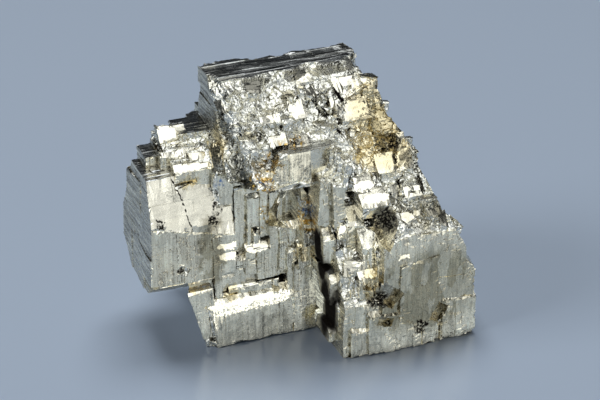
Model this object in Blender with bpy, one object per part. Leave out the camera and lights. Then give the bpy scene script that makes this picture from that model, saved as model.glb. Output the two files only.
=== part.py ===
"""A natural cluster of pyrite: striated cubes grown together, with a rough broken slope above them.

Everything is one piece. Each crystal is a box in the cluster's own lattice, trimmed by cleavage
planes, and a Boolean union grows them together. Lattice coordinates are millimetres: a runs along
the cluster, b runs back into it and c is up. The lattice is turned about the vertical, so the
cubes show a left side, a front and a top from the front of the model.
"""

import math
import random

import bmesh
import bpy
from mathutils import Euler, Matrix, Vector, noise

MM = 0.001
SEED = 14

# The cluster in lattice millimetres
TOP = 54.0  # highest crystal face above the table
LATTICE_TURN = math.radians(22)
CENTRE = Vector((-0.29, 6.575, 0.0))  # point of the table plane below the middle of the cluster

# Planes of the cluster: (outward normal, a point on the plane)
SLOPE = Vector((0, -1, 0.776)), Vector((0, 1.5, TOP))  # broken upper front
LOW_SLOPE = Vector((0, -1, 0.435)), Vector((0, -10.6, 35))  # steeper front of the shingles
RIGHT_SLOPE = Vector((0.887, -0.1, 0.45)), Vector((12.6, 1.4, TOP))
LEFT_BREAK = Vector((-0.785, -0.51, 0.35)), Vector((-17.2, 5.2, TOP))
BACK_BREAK = Vector((0.05, 1, 0.34)), Vector((0, 10.5, TOP))
LEFT_WALL = Vector((-1, 0, 0)), Vector((-17.2, 0, 0))
LEFT_BACK = Vector((-0.7, 0.7, 0.04)), Vector((-17.2, 9.9, TOP))
LOWER_BACK = Vector((-0.35, 1, -0.25)), Vector((0, 24, 22))
FOOT_BREAK = Vector((-0.62, 0.35, -0.7)), Vector((-18, 8, 6))
FOOT_SIDE = Vector((-1, 0.45, -0.235)), Vector((-22.9, -6, 0.3))
RIGHT_FOOT = Vector((0.62, 0.6, -0.45)), Vector((29.4, 4, 6))

SHELL = SLOPE, RIGHT_SLOPE, BACK_BREAK, LEFT_WALL

# Each crystal: name, near low corner, far high corner, height of its bevelled front edge, planes that trim it

# Crystals of the left side
LEFT_CRYSTALS = (
    ("step_3", (-32.4, 2.6, 22), (-20, 11.2, 34.6), 0),
    ("step_3_front", (-30.2, 0.6, 22), (-20, 11, 37.0), 1.6),
    ("step_2", (-30.6, 4.0, 24), (-20, 10.2, 39.2), 0),
    ("step_2_front", (-28.2, 1.8, 24), (-18, 10, 40.2), 0.8),
    ("step_1_low", (-27.0, 3.4, 24), (-15, 11, 41.3), 0.6),
    ("step_1", (-23.4, 3.9, 30), (-12, 10.6, 43.3), 0),
    ("step_1_white", (-27.2, 4.6, 30), (-21.6, 8.2, 44.0), 2.7),
    ("slab_under", (-26.5, -1.4, 24), (-17.5, 6, 38.6), 1.2),
    ("tooth_a", (-22.4, 0.6, 30), (-18.4, 6, 39.9), 1.4),
    ("tooth_b", (-19.2, 0.2, 29), (-15.8, 6, 41.0), 0.5),
    ("ear", (-18.2, -2.9, 28), (-15.4, 5, 37.6), 1.2),
)

# Crystals of the lower left and the middle
LOWER_CRYSTALS = (
    ("left_edge", (-28, -6.3, 2.2), (-20.6, 3, 13.6), 0.8, FOOT_SIDE),
    ("left_edge_low", (-28, -5.6, -1.2), (-19.8, 3, 7.6), 0.8, FOOT_SIDE),
    ("left_edge_back", (-27, -4.6, 6.4), (-20, 5, 17.5), 0.5, FOOT_SIDE),
    ("panel", (-4.2, -6.9, -1.1), (1.6, 5, 16.6), 1.2),
    ("panel_back", (-5.2, -6.2, -1.4), (-2.6, 5, 19.4), 0.6),
    ("low_facet", (-18.2, -4.0, 9), (-13.1, 5, 16.2), 0.6),
    ("low_facet_right", (-13.3, -3.5, 9), (-10.4, 5, 15.6), 0),
    ("recess_lump", (-19.2, -4.3, 9), (-16.2, 3, 13.9), 0.7),
    ("recess_slab", (-17.0, -5.2, 8), (-6.4, 3, 12.2), 0.7),
    ("wide_facet", (-11.0, -4.9, 12.6), (-3.6, 5, 19.4), 0),
    ("upper_facet", (-15.4, -4.7, 15.7), (-10.8, 5, 18.6), 0.8),
    ("ledge_1", (-18.9, -4.5, 12), (-14.4, 5, 19.6), 2.0),
    ("ledge_0", (-19.0, -3.3, 14), (-14.7, 5, 21.9), 1.3),
    ("ledge_2", (-13.3, -4.6, 14), (-7.7, 5, 21.6), 2.4),
    ("ledge_3", (-14.9, -3.2, 14), (-12.7, 5, 22.6), 0.6),
    ("column_1", (-20.4, -5.2, 8), (-18.7, 5, 24.6), 0.5),
    ("column_2", (-15.2, -3.2, 18), (-12.4, 5, 33.0), 0.5),
    ("column_3", (-12.8, -4.0, 20), (-10.1, 5, 31.6), 0.8),
    ("column_4", (-10.4, -4.5, 22), (-8.4, 5, 36.4), 0.6),
    ("column_5", (-8.7, -5.1, 19), (-6.2, 5, 33.6), 0.7),
    ("column_6", (-6.6, -5.7, 14), (-2.9, 5, 24.4), 1.0),
    ("column_7", (-12.0, -4.8, 20), (-10.6, 5, 24.4), 1.0),
    ("white_tooth", (-10.6, -7.0, 33.8), (-5.6, 3, 36.6), 1.9),
    ("overhang", (-14.3, -9.3, 36.6), (-10.3, 3, 39.8), 0),
    ("overhang_tooth", (-14.0, -7.6, 34.0), (-11.2, 3, 36.9), 1.0),
    ("overhang_upper", (-13.8, -8.4, 40.2), (-9.4, 3, 43.4), 0.5),
)

# Crystals that stand out of the broken slope
SLOPE_CRYSTALS = (
    ("spur_1", (1.9, -12.3, 33.0), (4.1, -3, 41.4), 0.5),
    ("spur_2", (3.6, -13.6, 33.4), (6.1, -5, 39.6), 0.6),
    ("spur_3", (-1.4, -13.2, 27.0), (1.5, -5, 37.4), 0.5),
    ("spur_4", (1.2, -14.4, 26.5), (3.8, -5, 36.0), 0.7),
    ("shard_1", (5.4, -14.9, 31.0), (10.0, -7, 36.2), 2.2),
    ("shard_2", (6.0, -17.2, 28.4), (12.3, -9, 33.9), 2.6),
    ("bright_1", (6.3, -3.4, 46.0), (12.2, 3, 51.6), 3.2),
    ("bright_2", (-4.1, -5.2, 44.5), (-0.3, 1, 49.6), 3.0),
    ("grey_1", (-10.5, -5.9, 43.6), (-6.3, 1, 48.2), 1.3),
    ("grey_2", (-6.2, -6.6, 43.0), (-3.3, 1, 47.4), 0.4),
    ("bright_3", (-9.4, -8.0, 42.2), (-5.8, 0, 44.9), 1.8),
    ("bright_4", (-4.0, -8.4, 41.6), (-0.8, 0, 44.2), 1.9),
    ("crest", (-12.8, 0.6, 48.0), (-6.9, 6, 53.4), 1.9),
    ("gold_1", (6.4, -6.4, 42.5), (12.6, 1, 48.2), 3.2),
    ("gold_2", (11.6, -3.6, 43.0), (16.4, 3, 49.4), 3.6, RIGHT_SLOPE),
    ("grain_1", (15.2, -13.4, 33.5), (18.8, -5, 39.4), 3.0, RIGHT_SLOPE),
    ("grain_2", (10.9, -13.6, 33.2), (15.0, -5, 39.2), 3.0),
    ("grain_3", (19.2, -16.2, 29.5), (22.6, -8, 35.8), 3.2, RIGHT_SLOPE),
    ("grain_4", (14.9, -17.2, 29.0), (18.6, -9, 33.8), 2.0, RIGHT_SLOPE),
)

# Blocks of the right front
FRONT_CRYSTALS = (
    ("lip_1", (-1.1, -12.4, 23.6), (4, -4, 33.0), 1.5),
    ("lip_2", (-0.9, -14.2, 18.8), (4, -4, 26.5), 2.0),
    ("lip_3", (-0.4, -16.6, 10.8), (4, -4, 17.4), 1.6),
    ("lip_4", (0.7, -18.0, 5.4), (4, -4, 12.0), 2.2),
    ("shingle_low", (1.9, -17.6, 1.2), (7.6, -6, 14.5), 2.0),
    ("shingle_mid", (2.9, -17.0, 9.5), (6.6, -6, 21.5), 2.5),
    ("shingle_high", (1.9, -14.4, 14.5), (4.6, -4, 29.6), 3.0),
    ("shingle_top", (3.4, -15.6, 20.6), (7.4, -5, 29.6), 3.0),
    ("shingle_wide", (5.6, -18.2, 15.0), (10.6, -6, 26.2), 3.2),
    ("shingle_front", (4.4, -19.3, 9.6), (8.4, -6, 19.4), 2.4),
    ("shingle_tall", (8.2, -19.4, 13.6), (12.6, -6, 23.4), 2.6),
    ("front_left", (6.2, -21.0, -1.2), (13.6, -6, 10.6), 1.6),
    ("front_main", (12.9, -21.0, -1.5), (21.4, -6, 19.6), 0.8, RIGHT_SLOPE),
    ("front_right", (21.9, -20.9, 0.5), (29.3, 4, 9.8), 0.5, RIGHT_SLOPE),
    ("front_right_top", (20.8, -20.3, 6), (29.6, 4, 14.8), 0.8, RIGHT_SLOPE),
    ("front_foot", (2.6, -20.4, -1.3), (7.4, -6, 8.2), 2.2),
    ("foot_tip", (-0.5, -16.9, 2.2), (3.6, -9, 5.6), 1.4),
)

# Pits and grooves: centre, half size, twist in degrees
PITS = (
    ((9.6, -19.4, 27.6), (2.6, 3.2, 3.0), (20, 30, 15)),
    ((13.9, -9.9, 41.6), (2.4, 1.9, 1.9), (35, 20, 10)),
    ((5.9, -8.2, 43.6), (3.0, 1.0, 1.1), (30, -20, 25)),
    ((5.2, -3.9, 48.2), (0.7, 2.4, 2.2), (15, 25, 40)),
    ((21.7, -21.6, 6.6), (1.3, 2.2, 1.9), (10, 30, 20)),
    ((21.4, -21.6, 1.6), (0.6, 1.6, 2.9), (0, 4, 0)),
    ((10.4, -21.4, 12.6), (2.7, 2.0, 2.0), (15, 35, 10)),
    ((9.9, -21.4, 7.2), (1.6, 1.4, 1.0), (10, 20, 10)),
    ((-5.9, -6.4, 27.4), (2.3, 2.4, 3.6), (15, 10, 30)),
    ((-26.4, -5.2, 17.9), (1.1, 1.1, 0.9), (20, 30, 10)),
    ((-24.3, -2.3, 35.4), (2.3, 0.9, 0.9), (20, -8, 0)),
)

# Crystals of the back and the far side
BACK_CRYSTALS = (
    ("back_step_1", (-11, 10, 39), (1.5, 14.6, 48.6), 0),
    ("back_step_2", (2, 10, 36), (7.4, 16.0, 43.4), 0),
    ("back_step_3", (-7, 12, 33), (2.4, 19.2, 40.4), 0),
    ("back_step_4", (-19.6, 10, 22), (-13.4, 18.2, 31.6), 0),
    ("back_step_5", (1, 14, 17.5), (6.4, 25.2, 23.4), 0),
    ("back_step_6", (11.6, 12, 3), (18.4, 22.4, 12.6), 0, RIGHT_SLOPE),
    ("side_step_1", (22, -12, 8), (30.4, -3, 18.2), 0, RIGHT_SLOPE),
    ("side_step_2", (20, 2, 14), (28.8, 9.5, 21.6), 0, RIGHT_SLOPE),
    ("side_step_3", (20, -6, 3.5), (30.6, 2.6, 11.0), 0),

    ("back_1", (-22, 8, 9), (-9, 21.5, 24), 0),
    ("back_2", (-12, 12, 20), (3, 22.6, 36), 0),
    ("back_3", (6, 10, 16), (20, 24.6, 30), 0),
    ("back_4", (-3, 14, 4), (11, 26.2, 19), 0),
    ("back_5", (17, 6, 5), (29.8, 18.4, 17), 0, RIGHT_SLOPE),
    ("back_6", (-16, 8, 30), (-5, 17.4, 43), 0),
    ("back_7", (9, 6, 28), (15.5, 15.6, 39), 0),
    ("back_8", (-27, 9, 17), (-15, 16.4, 30), 0),
)

# Small crystals scattered on the broken faces: plane, index of the coordinate that the plane gives,
# low and high corner of the zone, how many, and their smallest and largest size
SCATTER = (
    (SLOPE, 1, (-14, 0, 43), (24, 0, 52.4), 40, (1.6, 4.0)),
    (SLOPE, 1, (10, 0, 26), (26, 0, 43), 26, (1.6, 3.8)),
    (LOW_SLOPE, 1, (2.5, 0, 12), (9, 0, 34), 9, (1.8, 3.4)),
    (LEFT_BREAK, 0, (0, -5, 39), (0, 4, 52), 18, (1.4, 2.6)),
    (RIGHT_SLOPE, 0, (0, -17, 20), (0, 12, 50), 24, (2.2, 5.0)),
    (BACK_BREAK, 1, (-14, 0, 41), (11, 0, 51), 14, (2.4, 5.0)),
)

PYRITE = {"color": (0.78, 0.74, 0.63, 1.0), "metallic": 1.0, "roughness": 0.22}


def clear_scene():
    for obj in list(bpy.data.objects):
        bpy.data.objects.remove(obj)


def pyrite_material():
    material = bpy.data.materials.new("pyrite")
    material.use_nodes = True
    shader = material.node_tree.nodes["Principled BSDF"]
    shader.inputs["Base Color"].default_value = PYRITE["color"]
    shader.inputs["Metallic"].default_value = PYRITE["metallic"]
    shader.inputs["Roughness"].default_value = PYRITE["roughness"]
    return material


def trim(bm, plane):
    """Cuts away what lies beyond the plane and closes the cut with one flat face."""
    normal, point = plane
    geometry = bm.verts[:] + bm.edges[:] + bm.faces[:]
    cut = bmesh.ops.bisect_plane(bm, geom=geometry, plane_co=point, plane_no=normal, clear_outer=True)
    edges = [part for part in cut["geom_cut"] if isinstance(part, bmesh.types.BMEdge)]
    if edges:
        bmesh.ops.contextual_create(bm, geom=edges)


def box(low, high, planes=(), twist=(0, 0, 0)):
    """A box between two lattice corners, twisted about its centre by degrees and then trimmed."""
    low, high = Vector(low), Vector(high)
    turn = Euler([math.radians(angle) for angle in twist]).to_matrix().to_4x4()
    place = Matrix.Translation((low + high) / 2) @ turn @ Matrix.Diagonal((*(high - low), 1))
    bm = bmesh.new()
    bmesh.ops.create_cube(bm, size=1.0, matrix=place)
    for plane in planes:
        trim(bm, plane)
    return bm


def inset(plane, depth):
    normal, point = plane
    return normal, point - normal.normalized() * depth


def faces_along(bm, normals):
    """The faces that look along one of the normals, to within a few degrees."""
    return [f for f in bm.faces if any(f.normal.angle(n) < math.radians(4) for n in normals)]


def roughen(bm, normals, cell, depth):
    """Splits the faces along the given normals into cells, and moves their points in and out by noise.

    Points shared with a flat face slide along it, so that face stays flat. Edges and faces are kept in
    the mesh's own order, as dictionary keys, so every run gives the same points.
    """
    bmesh.ops.recalc_face_normals(bm, faces=bm.faces[:])
    bmesh.ops.triangulate(bm, faces=faces_along(bm, normals))
    for _ in range(8):
        edges = (edge for face in faces_along(bm, normals) for edge in face.edges)
        long_edges = dict.fromkeys(edge for edge in edges if edge.calc_length() > cell)
        if not long_edges:
            break
        bmesh.ops.subdivide_edges(bm, edges=list(long_edges), cuts=1)
        bmesh.ops.triangulate(bm, faces=faces_along(bm, normals))
    rough = dict.fromkeys(faces_along(bm, normals))
    moves = {vert: face.normal.copy() for face in rough for vert in face.verts}
    for vert, move in moves.items():
        lumps = noise.noise(vert.co / 8) + 0.8 * noise.noise(vert.co / 3)
        jag = noise.cell(vert.co / 2.1) - 0.5
        move *= depth * (lumps + 0.8 * jag)
        for face in vert.link_faces:
            if face not in rough:
                move -= face.normal * move.dot(face.normal)
    for vert, move in moves.items():
        vert.co += move


def add_crystal(bm, name, collection):
    bmesh.ops.triangulate(bm, faces=bm.faces[:])
    bmesh.ops.recalc_face_normals(bm, faces=bm.faces[:])
    turn = Matrix.Rotation(LATTICE_TURN, 4, "Z")
    bm.transform(Matrix.Scale(MM, 4) @ Matrix.Translation(-CENTRE) @ turn)
    mesh = bpy.data.meshes.new(name)
    bm.to_mesh(mesh)
    bm.free()
    obj = bpy.data.objects.new(name, mesh)
    collection.objects.link(obj)
    obj.hide_render = True
    obj.display_type = "WIRE"
    return obj


def normals_of(*planes):
    return [normal.normalized() for normal, _ in planes]


def add_masses(crystals):
    """The big bodies: the upper mass with its broken slope, the right mass and the core between them."""
    around = SLOPE, RIGHT_SLOPE, LEFT_BREAK, BACK_BREAK, LEFT_BACK
    upper = box((-17.2, -16, 36), (34, 26, TOP), around)
    roughen(upper, normals_of(SLOPE), 3.0, 1.0)
    roughen(upper, normals_of(RIGHT_SLOPE, LEFT_BREAK, BACK_BREAK), 4.4, 0.9)
    add_crystal(upper, "upper_mass", crystals)

    around = [inset(plane, 0.4) for plane in (SLOPE, RIGHT_SLOPE, BACK_BREAK, RIGHT_FOOT)]
    right = box((9.0, -20.6, -1.6), (29.3, 17, 37.3), around)
    roughen(right, normals_of(SLOPE), 3.0, 1.0)
    roughen(right, normals_of(RIGHT_SLOPE, BACK_BREAK), 4.8, 0.9)
    add_crystal(right, "right_mass", crystals)

    around = [inset(plane, 0.7) for plane in (LOW_SLOPE, RIGHT_SLOPE, BACK_BREAK)]
    inner = box((1.2, -20, -1.8), (16, 16.2, 36.9), around)
    roughen(inner, normals_of(LOW_SLOPE), 3.4, 0.8)
    add_crystal(inner, "inner_mass", crystals)

    around = [inset(plane, 1.0) for plane in (BACK_BREAK, LOWER_BACK, FOOT_BREAK, LEFT_BREAK, RIGHT_SLOPE)]
    core = box((-19, -2.6, -2), (24, 24, 42), around)
    roughen(core, normals_of(BACK_BREAK, LOWER_BACK, FOOT_BREAK), 5.0, 1.2)
    add_crystal(core, "core", crystals)


def add_left_crystal(crystals):
    """The big outlying crystal: an upright front, a bright face leaning back above it and a rising underside."""
    planes = (
        (Vector((0.09, -0.927, 0.375)), Vector((-32.7, -5, 28.2))),  # bright face
        (Vector((0.8, -0.1, 0.6)), Vector((-18.6, -1.5, 35.6))),  # upper right edge
        (Vector((0, -0.62, -0.78)), Vector((-32, -5, 15.1))),  # chamfer under the front
        (Vector((-0.12, 0.63, -0.77)), Vector((-32, 10.8, 12.9))),  # rising underside
        (Vector((-0.1, 0.88, 0.47)), Vector((-32, 14.8, 25.9))),  # back
        (Vector((-1, 0.03, 0.03)), Vector((-32.7, -5, 24))),  # left side
    )
    add_crystal(box((-34, -5, 12.4), (-15.6, 16, 36.9), planes), "left_crystal", crystals)


def add_front_block(crystals):
    """The lower left block, with its bevelled upper edge and the broken column at its left."""
    bevel = Vector((0, -0.75, 1)), Vector((0, -6.9, 9.2))
    end_bevel = Vector((0.5, -0.75, 1)), Vector((-6.6, -6.9, 9.2))
    broken_side = Vector((-1, -0.5, -0.15)), Vector((-21.4, -6.9, 5))
    add_crystal(box((-24, -6.9, -1), (-4.1, 8, 10.8), (bevel, broken_side, FOOT_SIDE)), "front_block", crystals)
    add_crystal(box((-8.2, -6.6, 4), (-4.4, 4, 13.8), (end_bevel,)), "front_block_end", crystals)


def add_barrel(crystals):
    """The bright striated crystal in the middle, with a slanted left end and a rounded right end."""
    slant = Vector((-1, 0, 0.36)), Vector((-11, -11, 34.9))
    crown = Vector((-0.25, -0.4, 1)), Vector((-7, -11, 42.2))
    planes = [slant, crown]
    rounding = ((14, -2.2), (30, 0.4), (52, 2.0))
    for angle, a in rounding:
        normal = Vector((math.sin(math.radians(angle)), -math.cos(math.radians(angle)), 0))
        planes.append((normal, Vector((a, -11, 38))))
    add_crystal(box((-13, -11, 34.9), (3.4, -1, 42.4), planes), "barrel", crystals)


def add_lump(crystals):
    """The golden lump beside the crack."""
    planes = (
        (Vector((0.8, -0.6, 0.3)), Vector((1.4, -6.6, 18))),
        (Vector((-0.3, -0.6, 0.8)), Vector((-2, -6.9, 20.6))),
        (Vector((0.4, -0.6, -0.7)), Vector((0.4, -7, 15.4))),
    )
    add_crystal(box((-3.4, -7.6, 14.6), (2.2, 3, 21.9), planes), "lump", crystals)
    wedge = (
        (Vector((0.9, -0.3, 0.5)), Vector((0.4, -8, 27.0))),
        (Vector((0.3, -1, 0.3)), Vector((-1, -8.6, 26.0))),
    )
    add_crystal(box((-3.0, -9.6, 20.8), (2.4, 3, 37.0), wedge), "lump_wedge", crystals)


def add_listed(listed, crystals, rng):
    """The crystals of a list, each turned a little out of line with the lattice as real ones are."""
    for name, low, high, bevel, *trims in listed:
        planes = [inset(plane, rng.uniform(0, 0.5)) for plane in trims]
        if bevel:
            planes.append((Vector((rng.uniform(-0.15, 0.15), -1, rng.uniform(0.7, 1.1))),
                           Vector((low[0], low[1], high[2] - bevel))))
        twist = [rng.uniform(-1.6, 1.6) for _ in range(3)]
        add_crystal(box(low, high, planes, twist), name, crystals)


def on_plane(plane, point, index):
    """The point moved along one axis onto the plane."""
    normal, base = plane
    moved = point.copy()
    moved[index] -= normal.dot(point - base) / normal[index]
    return moved


def near_edge(point, own_plane):
    """Whether the point is within a millimetre of the edge where its broken face ends."""
    others = [plane for plane in SHELL if plane is not own_plane]
    return any((point - base).dot(normal.normalized()) > -1 for normal, base in others)


def add_scatter(crystals, rng):
    """Small crystals scattered over the broken faces, each with one corner broken off."""
    for zone, (plane, index, low, high, count, sizes) in enumerate(SCATTER):
        outward = plane[0].normalized()
        for number in range(count):
            point = Vector([rng.uniform(a, b) for a, b in zip(low, high)])
            centre = on_plane(plane, point, index) - outward * rng.uniform(0.3, 1.0)
            if near_edge(centre, plane):
                continue
            size = Vector([rng.uniform(*sizes) for _ in range(3)])
            size[index] = max(size[index], 3.2)
            corner = outward + Vector([rng.uniform(-0.7, 0.7) for _ in range(3)])
            cut = corner, centre + outward * size.length * rng.uniform(0.2, 0.3)
            twist = [rng.gauss(0, 7) for _ in range(3)]
            bm = box(centre - size / 2, centre + size / 2, (cut,), twist)
            add_crystal(bm, f"small_{zone}_{number}", crystals)


def add_pits(obj, cutters):
    """Cuts the pits, and everything below the table."""
    add_crystal(box((-60, -60, -12), (60, 60, 0)), "ground", cutters)
    for index, (centre, half, twist) in enumerate(PITS):
        centre, half = Vector(centre), Vector(half)
        add_crystal(box(centre - half, centre + half, (), twist), f"pit_{index}", cutters)
    cut = obj.modifiers.new("pits", "BOOLEAN")
    cut.operation = "DIFFERENCE"
    cut.operand_type = "COLLECTION"
    cut.collection = cutters


def new_collection(name):
    collection = bpy.data.collections.new(name)
    bpy.context.scene.collection.children.link(collection)
    return collection


def cluster():
    rng = random.Random(SEED)
    crystals = new_collection("crystals")
    add_masses(crystals)
    add_left_crystal(crystals)
    add_front_block(crystals)
    add_barrel(crystals)
    add_lump(crystals)
    for listed in (LEFT_CRYSTALS, LOWER_CRYSTALS, SLOPE_CRYSTALS, FRONT_CRYSTALS, BACK_CRYSTALS):
        add_listed(listed, crystals, rng)
    add_scatter(crystals, rng)

    obj = crystals.objects["upper_mass"]
    crystals.objects.unlink(obj)
    bpy.context.scene.collection.objects.link(obj)
    obj.name = "pyrite_cluster"
    obj.hide_render = False
    obj.display_type = "TEXTURED"
    obj.data.materials.append(pyrite_material())
    grow = obj.modifiers.new("grow_together", "BOOLEAN")
    grow.operation = "UNION"
    grow.operand_type = "COLLECTION"
    grow.collection = crystals
    add_pits(obj, new_collection("cutters"))
    return obj


clear_scene()
cluster()
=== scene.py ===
"""The looks of the pyrite cluster: striated faces, broken sparkling slope, tarnish and studio light."""

import math
import random
from bisect import bisect_right

import bmesh
import bpy
from mathutils import Matrix, Vector, noise


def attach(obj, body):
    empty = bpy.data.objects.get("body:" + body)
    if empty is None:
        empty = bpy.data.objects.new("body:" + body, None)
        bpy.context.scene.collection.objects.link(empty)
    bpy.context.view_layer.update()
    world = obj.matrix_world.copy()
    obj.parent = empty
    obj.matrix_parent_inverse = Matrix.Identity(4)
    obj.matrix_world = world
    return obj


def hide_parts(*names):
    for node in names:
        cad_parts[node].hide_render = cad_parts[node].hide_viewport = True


MM = 0.001
NODE = "pyrite_cluster"
SEED = 5

# The cluster's lattice: a runs along it, b runs back into it, c is up, all in millimetres
LATTICE_TURN = math.radians(22)
CENTRE = Vector((-0.29, 6.575, 0.0))
TOP = 54.0

# Broken faces of the cluster: (outward normal, a point on the plane), as in the CAD
SLOPE = Vector((0, -1, 0.776)), Vector((0, 1.5, TOP))
LOW_SLOPE = Vector((0, -1, 0.435)), Vector((0, -10.6, 35))
RIGHT_SLOPE = Vector((0.887, -0.1, 0.45)), Vector((12.6, 1.4, TOP))
LEFT_BREAK = Vector((-0.785, -0.51, 0.35)), Vector((-17.2, 5.2, TOP))
BACK_BREAK = Vector((0.05, 1, 0.34)), Vector((0, 10.5, TOP))
LOWER_BACK = Vector((-0.35, 1, -0.25)), Vector((0, 24, 22))
FOOT_BREAK = Vector((-0.62, 0.35, -0.7)), Vector((-18, 8, 6))
BROKEN = SLOPE, RIGHT_SLOPE, LEFT_BREAK, BACK_BREAK, LOWER_BACK, FOOT_BREAK

# Kinds of facet: outward axis and the direction of its striations
ALIGNED = {
    "front": (Vector((0, -1, 0)), Vector((0, 0, 1))),
    "back": (Vector((0, 1, 0)), Vector((0, 0, 1))),
    "left": (Vector((-1, 0, 0)), Vector((0, 1, 0))),
    "right": (Vector((1, 0, 0)), Vector((0, 1, 0))),
    "top": (Vector((0, 0, 1)), Vector((1, 0, 0))),
    "bottom": (Vector((0, 0, -1)), Vector((1, 0, 0))),
}
SLOTS = ("front", "top", "side", "plate", "rough")
SLOT_OF = {"front": 0, "back": 0, "top": 1, "bottom": 1, "left": 2, "right": 2, "plate": 3, "rough": 4}

# Striations of each kind of facet: pitch and depth of the ridges, step between blocks,
# longest and widest block, and length of the mesh faces along the ridges
STRIATIONS = {
    "front": (0.42, 0.035, 0.10, 9, 3.5, 0.7),
    "back": (0.9, 0.04, 0.12, 9, 4.5, 2.4),
    "left": (0.42, 0.045, 0.05, 12, 6, 0.9),
    "right": (0.9, 0.05, 0.12, 9, 4, 2.4),
    "top": (0.34, 0.045, 0.08, 16, 2.4, 1.2),
    "bottom": (1.8, 0.02, 0.05, 12, 8, 6),
    "plate": (0.9, 0.006, 0.02, 8, 6, 0.9),
}
PITCH_SPREAD = 0.55  # spread of the ridges' width, as a power of e
BLOCK_TILT = 0.012  # spread of the blocks' slope along their ridges
RISER = 0.05  # width of the riser between two blocks
# A cut falls at least this share of a block's length from its ends
CUT_MARGIN = 0.3
# A block is cut while it is longer than its limit times a factor in this range
CUT_FACTOR = 0.9, 1.8
# Mesh faces along a ridge: range of the first one's length and of the others', and the least remainder
FIRST_PIECE, NEXT_PIECE, LAST_PIECE = (0.4, 1.0), (0.6, 1.4), 0.2

# Which facets are broken rather than grown, with areas in square millimetres
ALONG_AXIS = 0.985  # cosine of the angle within which a facet looks along an axis
NEAR_BREAK = 2.6  # how far from a broken face's plane its facets reach
BROKEN_AREA = 14  # largest facet of a broken face
SLIVER_AREA = 2.5  # largest facet that counts as broken anywhere
PLATE_AREA, PLATE_RISE = 5, 0.3  # a facet larger than this that looks up by this stays a plate

# Low terraces on the fronts: height, number in the noise's range, size, how far they lean sideways and
# how flat they are in height, and the share and scale of the noise that frays them
TERRACE_STEP = 0.11
TERRACE_LEVELS = 5.0
TERRACE_SCALE = 0.32
TERRACE_LEAN, TERRACE_SQUASH = 0.35, 0.22
FRAY, FRAY_SCALE = 0.12, 4.0
LEFT_TERRACES = 0.35  # share of the terraces' height that the fronts left of the middle have

CHIP_DEPTH = 0.34  # how deep the chips in the crystals' edges go
SEAM_DEPTH = 0.30  # how deep the seams between crystals go
EDGE_ANGLE = math.radians(22)  # least bend of an edge that chips
# Edges between facets of one kind whose normals' product is above the first number wear by the second
SAME_WAY, SAME_WAY_WEAR = 0.2, 0.4
LEAST_WEAR = 0.12
RIM_DEPTH, RIM_WIDTH = 2.6, 2.2  # depth and width of the chips in the top's back edge
RIM_PITCH = 0.30

WARP = 0.22  # how far the slow bending of the whole cluster moves a point
SLOW_BEND, QUICK_BEND = 7.0, 2.2  # size of the slow and of the quick bends
QUICK_WARP = 0.3  # share of the quick bends

TOUCH = 1e-4  # how near a cut a point counts as on it
SKEW = 0.37  # turns the counting line of inside() away from the mesh's own directions
FLAT_ANGLE = math.radians(0.6)  # mesh faces within this angle are joined at the start
FACET_ANGLE = math.radians(1)  # mesh faces within this angle are one facet

# The broken faces: edge length of their mesh in front and behind, how much longer an edge may stay and
# how often they are split, rounds of smoothing that turn small blocks into lumps, and the share of the
# chips' height on the border to a grown face
FINE, COARSE = 0.33, 1.0
HIDDEN = 0.3  # a face whose normal points back or down by this is behind
SLACK = 1.35
SPLITS = 7
SMOOTHING = 9
BORDER_SHARE = 0.25
# Chips of the broken faces: size, tilt and step
CHIPS = ((4.2, 0.22, 0.25), (1.5, 0.19, 0.08), (0.75, 0.18, 0.04))
TILT_SEED, STEP_SEED = 71.3, 53.7  # a chip's centre times these picks its tilt and its step

# Lights: name, azimuth from the camera's side, elevation, size in metres and radiance. The crystals
# mirror the softboxes, which don't light the floor. The lamps light everything and aren't mirrored.
DAYLIGHT = (0.92, 0.96, 1.0)
SOFTBOXES = (
    ("key_softbox", -4, 60, (2.4, 1.6), 1.8),
    ("low_softbox", 0, 22, (2.2, 0.85), 0.95),
    ("right_softbox", 58, 20, (1.4, 0.85), 0.90),
    ("top_softbox", 180, 80, (2.2, 1.4), 0.29),
)
LAMPS = (
    ("overhead", 184, 73, (2.0, 1.2), 6.1),
    ("side_fill", 288, 32, (1.6, 1.2), 4.0),
)
SOFTBOX_REACH, LAMP_REACH = 1.5, 3.0
LIGHTS_AIM = Vector((0, 0, 0.02))
SKY, SKY_STRENGTH = (0.80, 0.90, 1.0, 1), 0.04

# Floor
FLOOR_COLOUR = (0.60, 0.69, 0.82, 1)
FLOOR_ROUGHNESS = 0.24
FLOOR_RADIUS = 3.0
FLOOR_GAP = 0.0001

# Camera
ELEVATION = math.radians(28)
DISTANCE = 0.3333
TARGET = Vector((0.00029, -0.006575, 0.026))
LENS = 100
SENSOR = 36
CLIP_START = 0.01

# Colours
SILVER = (0.87, 0.82, 0.67, 1)
# Painted shade: a darker, greyer silver for the tops
TOP_SHADED_SILVER = (0.80, 0.80, 0.76, 1)
PALE = (0.85, 0.83, 0.73, 1)
GOLD = (0.80, 0.69, 0.44, 1)
# Painted shade: the near-black that recesses go towards
RECESS_SHADE = (0.055, 0.045, 0.032, 1)
# A dull olive grey that also paints shade where faces would mirror the shadowed floor
DULL_AND_SHADE = (0.51, 0.49, 0.43, 1)
CREAM = (0.84, 0.81, 0.62, 1)
# Painted shade: the near-black of pits and cracks
HOLE_SHADE_BLACK = (0.015, 0.012, 0.010, 1)
RUST = (0.62, 0.40, 0.10, 1)
BLUE = (0.14, 0.25, 0.46, 1)
GREY = (0.36, 0.36, 0.34, 1)
# Painted light: a lighter silver for the fronts
FRONT_LIT_SILVER = (0.93, 0.875, 0.69, 1)
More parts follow.
